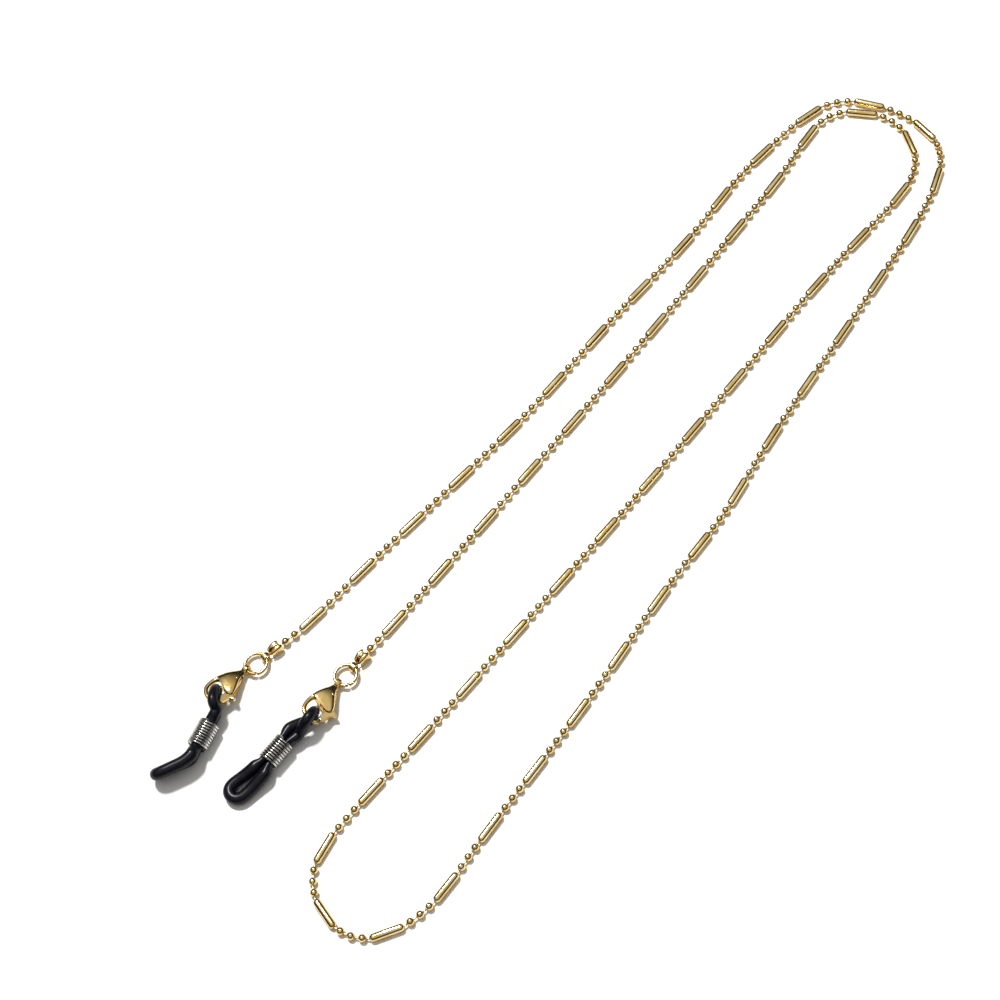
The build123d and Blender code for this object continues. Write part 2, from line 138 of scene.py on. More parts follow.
def heading(degrees, pitch=0.0):
    turn, lift = math.radians(degrees), math.radians(pitch)
    return Vector((math.cos(turn) * math.cos(lift), math.sin(turn) * math.cos(lift),
                   math.sin(lift)))


def plane(origin, along, normal):
    """A 4x4 whose X is along and whose Z is normal, with its origin in millimetres."""
    x = along.normalized()
    z = (normal - x * normal.dot(x)).normalized()
    matrix = Matrix((x, z.cross(x), z)).transposed().to_4x4()
    matrix.translation = origin
    return matrix


def frame_at(origin, along, roll=0.0):
    """Local X along a direction and local Z as near to up as it can be, then rolled."""
    along = along.normalized()
    side = UP.cross(along).normalized()
    angle = math.radians(roll)
    return plane(origin, along, along.cross(side) * math.cos(angle) - side * math.sin(angle))


def lateral(along, roll):
    """From one strand of a rubber loop to the other: level at no roll, upright at 90."""
    side = UP.cross(along).normalized()
    angle = math.radians(roll)
    return side * math.cos(angle) + along.cross(side) * math.sin(angle)


def along_axis(origin, axis):
    """A 4x4 whose Z runs along an axis."""
    matrix = Vector(axis).to_track_quat("Z", "Y").to_matrix().to_4x4()
    matrix.translation = origin
    return matrix


def pivot_of(name):
    return Vector(joints[name]["pos_m"]) / MM


# ---- mesh making ----

class Build:
    """Collects vertices in millimetres and faces, then makes one object of them."""

    def __init__(self):
        self.points, self.faces = [], []

    def add(self, points, faces, matrix=None):
        start = len(self.points)
        for point in points:
            place = Vector(point)
            self.points.append(matrix @ place if matrix is not None else place)
        self.faces += [[start + index for index in face] for face in faces]

    def make(self, name, sharp=None):
        mesh = bpy.data.meshes.new(name)
        mesh.from_pydata([point * MM for point in self.points], [], self.faces)
        return finish_mesh(mesh, name, sharp)


def finish_mesh(mesh, name, sharp=None):
    mesh.update()
    mesh.shade_smooth()
    if sharp is not None:
        mesh.set_sharp_from_angle(angle=math.radians(sharp))
    made = bpy.data.objects.new(name, mesh)
    bpy.context.scene.collection.objects.link(made)
    return made


def baked(made, sharp=None):
    """The same object with its modifiers turned into mesh."""
    name = made.name
    mesh = bpy.data.meshes.new_from_object(
        made.evaluated_get(bpy.context.evaluated_depsgraph_get()))
    bpy.data.objects.remove(made)
    mesh.name = name
    return finish_mesh(mesh, name, sharp)


def ring_faces(rings, sides, closed):
    """Quads between rings of points, each ring with the same number of sides."""
    faces = []
    for ring in range(rings if closed else rings - 1):
        after = (ring + 1) % rings
        for side in range(sides):
            turn = (side + 1) % sides
            faces.append([ring * sides + side, ring * sides + turn,
                          after * sides + turn, after * sides + side])
    return faces


def turned(profile, sides, closed=False, seam=0.0):
    """A profile of (radius, height) turned about Z. A seam is a fine groove along it."""
    points = []
    for radius, height in profile:
        for side in range(sides):
            angle = 2 * math.pi * side / sides
            reach = radius - (seam if side == 0 else 0)
            points.append((reach * math.cos(angle), reach * math.sin(angle), height))
    faces = ring_faces(len(profile), sides, closed)
    if not closed:
        faces.append(list(range(sides))[::-1])
        faces.append([(len(profile) - 1) * sides + side for side in range(sides)])
    return points, faces


def arc(radius, start, stop, steps, centre=(0, 0)):
    """Points (r, z) on an arc, angles in degrees from the r axis."""
    angles = [math.radians(start + (stop - start) * step / steps) for step in range(steps + 1)]
    return [(centre[0] + radius * math.cos(a), centre[1] + radius * math.sin(a)) for a in angles]


def carried_frames(points, closed):
    """Tangents, and a sideways direction carried along without twisting."""
    count = len(points)
    tangents = []
    for index in range(count):
        before = points[index - 1] if index > 0 or closed else points[0]
        after = points[(index + 1) % count] if index < count - 1 or closed else points[-1]
        tangents.append((after - before).normalized())
    sides = [tangents[0].orthogonal().normalized()]
    for tangent in tangents[1:]:
        side = sides[-1] - tangent * sides[-1].dot(tangent)
        sides.append(side.normalized())
    return tangents, sides


def tube(points, radii, sides=16, closed=False):
    """A round tube along points. Open ends are rounded over."""
    points = [Vector(point) for point in points]
    if not hasattr(radii, "__len__"):
        radii = [radii] * len(points)
    if not closed:
        first, last = (points[0] - points[1]).normalized(), (points[-1] - points[-2]).normalized()
        # (how far out, radius) of the rings over an end, in tube radii
        head = [(0.30, 0.955), (0.62, 0.78), (0.88, 0.48), (DOME, 0.2)]
        tip, tail = points[0].copy(), points[-1].copy()
        for ahead, share in head:
            points.insert(0, tip + first * radii[0] * (ahead - DOME))
            points.append(tail + last * radii[-1] * (ahead - DOME))
        points[len(head)] = tip - first * radii[0] * DOME
        points[-len(head) - 1] = tail - last * radii[-1] * DOME
        front = [radii[0] * share for _, share in head][::-1]
        back = [radii[-1] * share for _, share in head]
        radii = front + list(radii) + back
    tangents, across = carried_frames(points, closed)
    made = []
    for point, tangent, side, radius in zip(points, tangents, across, radii):
        other = tangent.cross(side)
        for step in range(sides):
            angle = 2 * math.pi * step / sides
            made.append(point + (side * math.cos(angle) + other * math.sin(angle)) * radius)
    faces = ring_faces(len(points), sides, closed)
    if not closed:
        faces.append(list(range(sides))[::-1])
        faces.append([(len(points) - 1) * sides + step for step in range(sides)])
    return made, faces


def through(points, steps, closed=False):
    """A Catmull-Rom curve through points given as tuples of any length."""
    points = [np.array(point, float) for point in points]
    count = len(points)
    made = []
    for index in range(count if closed else count - 1):
        a, b, c, d = (points[(index + k) % count] if closed
                      else points[min(max(index + k, 0), count - 1)] for k in (-1, 0, 1, 2))
        for step in range(steps):
            t = step / steps
            made.append(0.5 * (2 * b + (c - a) * t + (2 * a - 5 * b + 4 * c - d) * t ** 2
                               + (3 * b - a - 3 * c + d) * t ** 3))
    if not closed:
        made.append(points[-1])
    return made


# ---- reading the chain from the CAD ----

def solids_of(node):
    """The separate solids of a CAD node, each as an array of its points in millimetres."""
    mesh = frame["nodes"][node].data
    points = np.array([vertex.co for vertex in mesh.vertices], float) / MM
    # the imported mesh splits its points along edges, so points at one place count as one
    _, group = np.unique(np.round(points * 1e4).astype(np.int64), axis=0, return_inverse=True)
    group = group.reshape(-1)
    above = list(range(int(group.max()) + 1))

    def top(index):
        while above[index] != index:
            above[index] = above[above[index]]
            index = above[index]
        return index

    for polygon in mesh.polygons:
        first = top(group[polygon.vertices[0]])
        for vertex in polygon.vertices[1:]:
            above[top(group[vertex])] = first
    tops = np.array([top(index) for index in group])
    return [points[tops == value] for value in np.unique(tops)]


def axis_of(points, is_ball):
    """The middle of a turned solid and the direction that it is turned about."""
    _, turn = np.linalg.eigh(np.cov((points - points.mean(0)).T))
    local = points @ turn
    middle = turn @ ((local.min(0) + local.max(0)) / 2)
    column = 2
    if is_ball:
        spread, _ = np.linalg.eigh(np.cov((points - points.mean(0)).T))
        column = 2 if spread[2] - spread[1] > spread[1] - spread[0] else 0
    return Vector(middle), Vector(turn[:, column])


# ---- materials ----

def new_material(name, **constants):
    """A Principled material whose plain numbers are set on its own sockets."""
    material = bpy.data.materials.new(name)
    material.use_nodes = True
    shader = material.node_tree.nodes["Principled BSDF"]
    for socket, value in constants.items():
        shader.inputs[socket.replace("_", " ")].default_value = value
    return material


class Nodes:
    """Short names for adding and joining a material's nodes."""

    def __init__(self, material):
        self.tree = material.node_tree
        self.shader = self.tree.nodes["Principled BSDF"]
        self.place = self.add("ShaderNodeTexCoord").outputs["Object"]

    def add(self, kind, **settings):
        node = self.tree.nodes.new(kind)
        for name, value in settings.items():
            if name in node.inputs:
                node.inputs[name].default_value = value
            else:
                setattr(node, name, value)
        return node

    def join(self, source, target):
        self.tree.links.new(source, target)

    def noise(self, scale, detail=3.0, stretch=None):
        noise = self.add("ShaderNodeTexNoise", Scale=scale, Detail=detail)
        place = self.place
        if stretch is not None:
            mapping = self.add("ShaderNodeMapping")
            mapping.inputs["Scale"].default_value = stretch
            self.join(place, mapping.inputs["Vector"])
            place = mapping.outputs["Vector"]
        self.join(place, noise.inputs["Vector"])
        return noise.outputs["Fac"]

    def ramp(self, source, stops):
        ramp = self.add("ShaderNodeValToRGB")
        elements = ramp.color_ramp.elements
        while len(elements) < len(stops):
            elements.new(0.5)
        for element, (position, colour) in zip(elements, stops):
            element.position = position
            element.color = (*colour, 1)
        self.join(source, ramp.inputs["Fac"])
        return ramp.outputs["Color"]

    def remap(self, source, low, high, start=0.3, stop=0.7):
        node = self.add("ShaderNodeMapRange")
        for name, value in (("From Min", start), ("From Max", stop),
                            ("To Min", low), ("To Max", high)):
            node.inputs[name].default_value = value
        self.join(source, node.inputs["Value"])
        return node.outputs["Result"]

    def mix(self, factor, first, second, blend="MIX"):
        node = self.add("ShaderNodeMix", data_type="RGBA", blend_type=blend)
        sockets = [s for s in node.inputs if s.enabled]
        for socket, value in zip(sockets, (factor, first, second)):
            if isinstance(value, (int, float)):
                socket.default_value = value
            elif isinstance(value, tuple):
                socket.default_value = (*value, 1)
            else:
                self.join(value, socket)
        return [s for s in node.outputs if s.enabled][0]

    def bump(self, sources):
        """Stacked bumps: each is (height, strength, distance in millimetres)."""
        normal = None
        for height, strength, distance in sources:
            bump = self.add("ShaderNodeBump", Strength=strength, Distance=distance * MM)
            self.join(height, bump.inputs["Height"])
            if normal is not None:
                self.join(normal, bump.inputs["Normal"])
            normal = bump.outputs["Normal"]
        self.join(normal, self.shader.inputs["Normal"])


def plated_gold(name, pale, deep, painted_shade_colour, roughness, dimple):
    """Polished plating: colour drift, painted shade in crevices, uneven polish, fine scratches."""
    material = new_material(name, Metallic=1.0, IOR=1.5)
    nodes = Nodes(material)
    drift = nodes.ramp(nodes.noise(260, 4), [(0.36, deep), (0.62, pale)])
    # painted shade: concave places (low pointiness) are mixed towards a dark shade colour
    painted_shade_mask = nodes.remap(nodes.add("ShaderNodeNewGeometry").outputs["Pointiness"],
                          1.0, 0.0, 0.40, 0.49)
    colour = nodes.mix(painted_shade_mask, drift, painted_shade_colour)
    nodes.join(colour, nodes.shader.inputs["Base Color"])
    polish = nodes.remap(nodes.noise(1900, 5), roughness * 0.75, roughness * 1.45)
    nodes.join(polish, nodes.shader.inputs["Roughness"])
    scratches = nodes.noise(5200, 2, (1, 0.12, 1))
    nodes.bump([(nodes.noise(750, 2), dimple, 0.05), (scratches, 0.10, 0.008)])
    return material


def bright_steel(name):
    """Nickel-plated spring wire: drawn lines, grey drift, painted shade where turns touch."""
    material = new_material(name, Metallic=1.0, IOR=1.5)
    nodes = Nodes(material)
    drift = nodes.ramp(nodes.noise(480, 4), [(0.35, (0.46, 0.45, 0.43)),
                                             (0.65, (0.70, 0.69, 0.67))])
    # painted shade: concave valleys between the turns are mixed towards a near-black grey
    painted_shade_mask = nodes.remap(nodes.add("ShaderNodeNewGeometry").outputs["Pointiness"],
                          1.0, 0.0, 0.38, 0.48)
    nodes.join(nodes.mix(painted_shade_mask, drift, (0.10, 0.095, 0.085)), nodes.shader.inputs["Base Color"])
    polish = nodes.remap(nodes.noise(2600, 4), 0.10, 0.22)
    nodes.join(polish, nodes.shader.inputs["Roughness"])
    nodes.bump([(nodes.noise(4200, 3, (0.2, 1, 1)), 0.14, 0.01)])
    return material


def black_rubber(name):
    """Extruded rubber: a faint blue cast, lint-fine mottling, skin texture and soft gloss."""
    material = new_material(name, IOR=1.26, Coat_Weight=0.06, Coat_Roughness=0.15)
    nodes = Nodes(material)
    tone = nodes.ramp(nodes.noise(900, 5), [(0.3, (0.002, 0.0022, 0.0045)),
                                            (0.7, (0.006, 0.0065, 0.012))])
    nodes.join(tone, nodes.shader.inputs["Base Color"])
    skin = nodes.remap(nodes.noise(3000, 4), 0.26, 0.40)
    nodes.join(skin, nodes.shader.inputs["Roughness"])
    nodes.bump([(nodes.noise(420, 2), 0.12, 0.06), (nodes.noise(5200, 3), 0.16, 0.012)])
    return material


# each gold's third colour is the painted shade put into its crevices
GOLD_BEAD = plated_gold("gold_bead", pale=(0.90, 0.71, 0.36), deep=(0.76, 0.53, 0.20),
                        painted_shade_colour=(0.22, 0.12, 0.03), roughness=0.12, dimple=0.10)
GOLD_WIRE = plated_gold("gold_wire", pale=(0.76, 0.55, 0.25), deep=(0.58, 0.38, 0.14),
                        painted_shade_colour=(0.20, 0.11, 0.03), roughness=0.18, dimple=0.05)
GOLD_FITTING = plated_gold("gold_fitting", pale=(0.88, 0.66, 0.29), deep=(0.74, 0.50, 0.17),
                           painted_shade_colour=(0.24, 0.13, 0.03), roughness=0.13, dimple=0.16)
STEEL_WIRE = bright_steel("steel_wire")
BLACK_RUBBER = black_rubber("black_rubber")


def place_piece(piece, material, slot, body, *nodes):
    piece.data.materials.clear()
    piece.data.materials.append(material)
    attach(piece, body)
    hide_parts(*nodes)


# ---- the chain ----

def bead_profile(half_straight):
    """A hollow bead's wall, with a rolled rim round the wire hole at each end."""
    inner = BEAD_RADIUS - BEAD_WALL
    start = math.degrees(math.acos((BEAD_HOLE + BEAD_RIM) / BEAD_RADIUS))
    stop = math.degrees(math.acos((BEAD_HOLE + 0.02) / inner))
    top = [(radius, height + half_straight) for radius, height in arc(BEAD_RADIUS, 0, start, 9)]
    crest = BEAD_RADIUS * math.sin(math.radians(start))
    lip = [(BEAD_HOLE + BEAD_RIM * 0.45, crest + half_straight - 0.004),
           (BEAD_HOLE + BEAD_RIM * 0.08, crest + half_straight - 0.045),
           (BEAD_HOLE, crest + half_straight - 0.10)]
    inside = [(radius, height + half_straight) for radius, height in arc(inner, stop, 0, 4)]
    upper = top + lip + inside
    lower = [(radius, -height) for radius, height in reversed(upper)]
    if half_straight == 0:
        lower = lower[1:-1]
    return upper + lower


def link_profile():
    """A dumbbell: two upset heads on a wire that is a little thinner between the beads."""
    head = [(LINK_HEAD * math.cos(a), LINK_OFFSET + LINK_HEAD * math.sin(a))
            for a in (math.radians(d) for d in (86, 65, 40, 15, -15, -40))]
    neck = [(LINK_RADIUS * 1.08, LINK_OFFSET - LINK_HEAD * 0.9), (LINK_RADIUS, 0.28),
            (LINK_RADIUS * 0.92, 0.1)]
    upper = head + neck
    return upper + [(radius, -height) for radius, height in reversed(upper)]


def make_chain():
    ball = turned(bead_profile(0), sides=32, closed=True, seam=BEAD_SEAM)
    bar = turned(bead_profile(BAR_LENGTH / 2 - BEAD_RADIUS), sides=40, closed=True, seam=BEAD_SEAM)
    link = turned(link_profile(), sides=14)
    kinds = {"bars": (bar, GOLD_BEAD, "gold_bar"), "balls": (ball, GOLD_BEAD, "gold_ball"),
             "links": (link, GOLD_WIRE, "gold_wire")}
    for node in sorted(frame["nodes"]):
        if not node.startswith("chain_"):
            continue
        kind = node.split("_")[2]
        (points, faces), material, slot = kinds[kind]
        build = Build()
        for solid in solids_of(node):
            middle, axis = axis_of(solid, kind == "balls")
            spin = Matrix.Rotation(random.uniform(0, 2 * math.pi), 4, "Z")
            build.add(points, faces, along_axis(middle, axis) @ spin)
        piece = build.make(node + "_detail", sharp=50)
        place_piece(piece, material, slot, "_".join(node.split("_")[:2]), node)


make_chain()


# ---- crimp connector ----

def crimp_outline():
    """The folded sheet's middle line round the channel, from one side of the seam to the other."""
    half = CRIMP_HALF + CRIMP_WALL / 2
    corner, seam = CRIMP_CORNER, CRIMP_SEAM
    quarter = [(half - corner + y, half - corner + z) for y, z in arc(corner, 90, 0, 5)]
    top = [(seam + (half - corner - seam) * k / 4, half) for k in range(4)]
    side = [(half, half - corner - 2 * (half - corner) * k / 5) for k in range(1, 5)]
    low = [(y, -z) for y, z in reversed(quarter)]
    bottom = [(half - corner - (half - corner) * k / 4, -half) for k in range(1, 5)]
    right = top + quarter + side + low + bottom
    return right + [(-y, z) for y, z in reversed(right[:-1])]


def crimp_notch(across, depth, half):
    """How far back the flap's end is cut, over the ball."""
    return depth * max(0.0, 1 - abs(across) / half)


def thickened(build, name, thickness, bevel):
    """A sheet given its thickness, rounded edges and one subdivision."""
    made = build.make(name)
    solid = made.modifiers.new("wall", "SOLIDIFY")
    solid.thickness, solid.offset = thickness * MM, 0
    edge = made.modifiers.new("edge", "BEVEL")
    edge.width, edge.segments, edge.limit_method = bevel * MM, 2, "ANGLE"
    edge.angle_limit = math.radians(50)
    smooth = made.modifiers.new("smooth", "SUBSURF")
    smooth.levels = smooth.render_levels = 1
    return baked(made)


def make_crimp(side):
    ball = pivot_of(side + "_connector_swing")
    base = frame_at(ball, heading(ENDS[side]["crimp_heading"]))
    outline, columns = crimp_outline(), 14
    channel = Build()
    points = []
    top = CRIMP_HALF + CRIMP_WALL / 2 - CRIMP_INSET
    low = -CRIMP_HALF - CRIMP_WALL / 2
    for y, z in outline:
        on_top = z > top
        back = CRIMP_BACK + CRIMP_INSET + (crimp_notch(y, *CRIMP_BACK_NOTCH) if on_top else 0)
        front = CRIMP_FRONT - CRIMP_INSET - (crimp_notch(y, *CRIMP_FRONT_NOTCH) if on_top else 0)
        for column in range(columns + 1):
            x = back + (front - back) * column / columns
            # the tool's press marks: flats on the sides and a crease down each flap
            mark = math.exp(-((x - 0.35) / 0.28) ** 2)
            squeeze = 0.06 * mark if abs(z) < 0.6 else 0.0
            crease = 0.10 * math.exp(-((abs(y) - 0.10) / 0.22) ** 2) if on_top else 0.0
            # both ends are pinched in, the one towards the ring most
            pinch = 1 - 0.24 * min(max((x - 0.3) / 1.2, 0), 1) ** 1.5
            pinch *= 1 - 0.16 * min(max((-0.3 - x) / 0.65, 0), 1) ** 2
            wide = y - math.copysign(squeeze, y) if abs(y) > 0.5 else y
            points.append((x, wide * pinch, (z - crease - low) * pinch + low))
    rows = columns + 1
    faces = [[r * rows + c, r * rows + c + 1, (r + 1) * rows + c + 1, (r + 1) * rows + c]
             for r in range(len(outline) - 1) for c in range(columns)]
    channel.add(points, faces, base)
    shell = thickened(channel, side + "_crimp_detail", CRIMP_WALL * 0.94, 0.05)

    strip = Build()
    curl = CRIMP_LOOP_BORE + CRIMP_LOOP_WALL / 2
    centre_z = CRIMP_LOOP_BORE + CRIMP_LOOP_WALL - CRIMP_HALF - CRIMP_WALL
    start = (CRIMP_FRONT - 0.55, centre_z - curl + 0.03)
    line = [start, (CRIMP_FRONT + 0.1, centre_z - curl)]
    line += [(CRIMP_LOOP_X + curl * math.cos(math.radians(a)),
              centre_z + curl * math.sin(math.radians(a))) for a in range(-90, 201, 15)]
    # the strip narrows from the channel's floor to the loop
    widths = [CRIMP_LOOP_HALF * 1.45, CRIMP_LOOP_HALF * 1.12]
    widths += [CRIMP_LOOP_HALF] * (len(line) - len(widths))
    across = (-1, -0.5, 0, 0.5, 1)
    points = [(x, width * share * 0.96, z) for (x, z), width in zip(line, widths)
              for share in across]
    count = len(across)
    faces = [[r * count + c, (r + 1) * count + c, (r + 1) * count + c + 1, r * count + c + 1]
             for r in range(len(line) - 1) for c in range(count - 1)]
    strip.add(points, faces, base)
    loop = thickened(strip, side + "_crimp_loop_detail", CRIMP_LOOP_WALL * 0.95, 0.06)
    joined = Build()
    for made in (shell, loop):
        joined.add([v.co / MM for v in made.data.vertices],
                   [list(p.vertices) for p in made.data.polygons])
        bpy.data.objects.remove(made)
    piece = joined.make(side + "_crimp_connector_detail", sharp=40)
    place_piece(piece, GOLD_FITTING, "gold_fitting", side + "_connector",
                side + "_crimp_connector")


# ---- jump ring ----

def make_ring(side, loop_centre):
    along = heading(ENDS[side]["ring_heading"])
    base = frame_at(loop_centre + along * RING_RADIUS, along, ENDS[side]["ring_roll"])
    # the cut is closed, but its two ends are a hair out of line
    turns = [math.radians(RING_CUT_START + RING_SWEEP * k / RING_STEPS)
             for k in range(RING_STEPS + 1)]
    points = [base @ Vector((RING_RADIUS * math.cos(a), RING_RADIUS * math.sin(a),
                             RING_MISMATCH * (k / RING_STEPS - 0.5)))
              for k, a in enumerate(turns)]
    build = Build()
    build.add(*tube(points, RING_WIRE, sides=20))
    place_piece(build.make(side + "_jump_ring_detail", sharp=60), GOLD_WIRE, "gold_fitting",
                side + "_ring", side + "_jump_ring")


# ---- lobster clasp ----

# (outer x, outer y, inner x, inner y, thickness): the casting's width and thickness from its
# neck, over the head, along the hook and to its tip, in clasp units with thickness in mm
BODY_STATIONS = [
    (0.80, -0.60, 0.80, 0.62, 0.95), (1.30, -0.86, 1.30, 0.88, 1.20),
    (2.10, -1.20, 2.00, 1.08, 1.60), (2.80, -1.62, 2.80, 1.38, 1.88),
    (3.40, -2.00, 3.70, 1.92, 2.04), (3.90, -2.25, 4.50, 2.38, 2.10),
    (4.30, -2.43, 5.40, 2.78, 2.08), (4.60, -2.55, 6.15, 2.88, 2.02),
    (4.80, -2.63, 6.70, 2.60, 1.94), (4.95, -2.69, 6.95, 1.90, 1.84),
    (5.08, -2.74, 6.84, 1.10, 1.72), (5.22, -2.79, 6.35, 0.35, 1.58),
    (5.38, -2.83, 5.88, -0.50, 1.42), (5.60, -2.88, 5.62, -1.35, 1.24),
    (5.95, -2.96, 5.95, -1.85, 1.08), (6.60, -3.07, 6.50, -2.10, 0.95),
    (7.40, -3.12, 7.40, -2.22, 0.88), (8.30, -3.00, 8.10, -2.10, 0.86),
    (9.00, -2.75, 8.60, -1.86, 0.86), (9.60, -2.20, 8.98, -1.48, 0.86),
    (10.05, -1.55, 9.28, -1.02, 0.86), (10.33, -0.80, 9.44, -0.50, 0.86),
    (10.42, -0.10, 9.50, 0.00, 0.86), (10.42, 0.60, 9.54, 0.55, 0.86),
    (10.33, 1.15, 9.55, 1.02, 0.82), (10.18, 1.62, 9.55, 1.42, 0.74),
    (10.08, 1.80, 9.58, 1.60, 0.64),
]
LEVER_OUTLINE = [
    (2.35, 0.35), (2.15, 0.95), (2.6, 1.45), (4.2, 2.05), (5.4, 2.6), (5.95, 3.3), (6.3, 3.95),
    (6.72, 4.05), (7.0, 3.55), (7.3, 3.0), (8.0, 2.85), (8.72, 2.62), (9.1, 2.3), (9.2, 1.95),
    (9.06, 1.62), (8.6, 1.28), (8.0, 1.25), (7.2, 1.4), (6.4, 1.25), (5.4, 0.9),
    (4.4, 0.55), (3.8, 0.3), (3.1, 0.07),
]


def clasp_plane(side, eye):
    """The clasp's own plane, from its eye, its pin and the pin's axis."""
    pin = pivot_of(side + "_lever_press")
    normal = -Vector(joints[side + "_lever_press"]["axis"])
    turn = -math.atan2(CLASP_PIVOT[1], CLASP_PIVOT[0])
    along = Matrix.Rotation(turn, 3, normal) @ (pin - eye)
    return plane(eye, along, normal)


def body_skin():
    """Rounded sections along the casting, blunt at the neck and domed at the tip."""
    stations = [tuple(s) for s in through(BODY_STATIONS, 4)]
    last = stations[-1]
    mid_x, mid_y = (last[0] + last[2]) / 2, (last[1] + last[3]) / 2
    for ahead, share in ((0.10, 0.90), (0.19, 0.66), (0.24, 0.32)):
        half_x, half_y = (last[0] - last[2]) / 2 * share, (last[1] - last[3]) / 2 * share
        x, y = mid_x - 0.10 * ahead, mid_y + ahead
        stations.append((x + half_x, y + half_y, x - half_x, y - half_y, last[4] * share))
    sides, points = 28, []
    for outer_x, outer_y, inner_x, inner_y, thickness in stations:
        outer = Vector((outer_x, outer_y, 0)) * CLASP_UNIT
        inner = Vector((inner_x, inner_y, 0)) * CLASP_UNIT
        middle, half = (outer + inner) / 2, (outer - inner) / 2
        for step in range(sides):
            angle = 2 * math.pi * step / sides
            cosine, sine = math.cos(angle), math.sin(angle)
            # the head is nearly flat-sided, and the hook is nearly round
            square = 0.90 - 0.32 * min(max((thickness - 0.9) / 0.9, 0), 1)
            wide = math.copysign(abs(cosine) ** square, cosine)
            thick = math.copysign(abs(sine) ** square, sine)
            points.append(middle + half * wide + UP * (thick * thickness / 2))
    faces = ring_faces(len(stations), sides, False)
    faces.append(list(range(sides))[::-1])
    faces.append([(len(stations) - 1) * sides + step for step in range(sides)])
    return points, faces


def outward(made):
    """Turns a closed mesh's faces outwards, for the cuts that follow."""
    mesh = bmesh.new()
    mesh.from_mesh(made.data)
    bmesh.ops.recalc_face_normals(mesh, faces=mesh.faces)
    mesh.to_mesh(made.data)
    mesh.free()
    return made


def block(low, high):
    corners = [(x, y, z) for x in (low[0], high[0]) for y in (low[1], high[1])
               for z in (low[2], high[2])]
    return corners, [[0, 1, 3, 2], [4, 6, 7, 5], [0, 4, 5, 1], [2, 3, 7, 6], [0, 2, 6, 4],
                     [1, 5, 7, 3]]


def solid_object(name, shapes, matrix=None):
    build = Build()
    for points, faces in shapes:
        build.add(points, faces, matrix)
    return outward(build.make(name))


def eye_ring():
    """The eye: a rounded band turned about Y."""
    outer, half, edge = EYE_BORE + EYE_WALL, EYE_HALF, 0.17
    corners = [(outer - edge, half - edge, 0), (EYE_BORE + edge * 0.8, half - edge, 90),
               (EYE_BORE + edge * 0.8, -half + edge, 180), (outer - edge, -half + edge, 270)]
    profile = []
    for radius, height, angle in corners:
        profile += arc(edge, angle, angle + 90, 4, (radius, height))
    points, faces = turned(profile, 40, closed=True)
    return [(x, z, -y) for x, y, z in points], faces


def make_clasp_body(side, base):
    body = solid_object(side + "_clasp_body_detail", [body_skin()])
    cutters = [
        ("UNION", solid_object("eye", [eye_ring()])),
        ("DIFFERENCE", solid_object("slot", [block(
            (1.7 * CLASP_UNIT, -0.3 * CLASP_UNIT, -SLOT_THICKNESS / 2),
            (7.6 * CLASP_UNIT, 4 * CLASP_UNIT, SLOT_THICKNESS / 2))])),
    ]
    for operation, other in cutters:
        cut = body.modifiers.new("cut", "BOOLEAN")
        cut.operation, cut.object, cut.solver = operation, other, "EXACT"
    edge = body.modifiers.new("edge", "BEVEL")
    edge.width, edge.segments, edge.limit_method = 0.07 * MM, 2, "ANGLE"
    edge.angle_limit = math.radians(42)
    made = baked(body, sharp=48)
    for _, other in cutters:
        bpy.data.objects.remove(other)
    made.data.transform(metres(base))
    place_piece(made, GOLD_FITTING, "gold_fitting", side + "_clasp", side + "_clasp_body")


def metres(matrix):
    """A placing matrix in millimetres, for a mesh that is already in metres."""
    scaled = matrix.copy()
    scaled.translation = matrix.translation * MM
    return scaled


def make_lever(side, base):
    """A flat blade with rounded edges and a nub for the thumb."""
    outline = [(x * CLASP_UNIT, y * CLASP_UNIT) for x, y in LEVER_OUTLINE]
    curve = bpy.data.curves.new("lever", "CURVE")
    curve.dimensions, curve.fill_mode = "2D", "BOTH"
    curve.extrude = (LEVER_THICKNESS / 2 - LEVER_ROUNDING) * MM
    curve.bevel_depth, curve.offset = LEVER_ROUNDING * MM, -LEVER_ROUNDING * MM
    curve.bevel_resolution = 3
    spline = curve.splines.new("POLY")
    path = through(outline, 5, closed=True)
    spline.points.add(len(path) - 1)
    for point, (x, y) in zip(spline.points, path):
        point.co = (x * MM, y * MM, 0, 1)
    spline.use_cyclic_u = True
    made = bpy.data.objects.new(side + "_clasp_lever_detail", curve)
    bpy.context.scene.collection.objects.link(made)
    made = baked(made, sharp=35)
    made.data.transform(metres(base))
    place_piece(made, GOLD_FITTING, "gold_fitting", side + "_lever", side + "_clasp_lever")


def make_pin_and_spring(side, base):
    x, y = (value * CLASP_UNIT for value in CLASP_PIVOT)
    half = HEAD_THICKNESS / 2
    rivet = [(0.02, half + 0.03), (0.14, half + 0.015), (0.24, half - 0.05), (0.27, half - 0.16)]
    rivet += [(radius, -height) for radius, height in reversed(rivet)]
    build = Build()
    build.add(*turned(rivet, 24), base @ Matrix.Translation((x, y, 0)))
    place_piece(build.make(side + "_clasp_pin_detail", sharp=50), GOLD_FITTING, "steel_wire",
                side + "_clasp", side + "_clasp_pin")
    wire = [(4.35, 0.05), (3.7, -0.05), (3.2, -0.12), (2.5, -0.12), (2.08, -0.06), (1.96, 0.2),
            (1.9, 0.6)]
    points = [base @ Vector((px * CLASP_UNIT, py * CLASP_UNIT, 0)) for px, py in through(wire, 5)]
    spring = Build()
    spring.add(*tube(points, SPRING_WIRE, sides=10))
    place_piece(spring.make(side + "_clasp_spring_detail", sharp=60), STEEL_WIRE, "steel_wire",
                side + "_clasp", side + "_clasp_spring")


# ---- rubber loop and coil ----

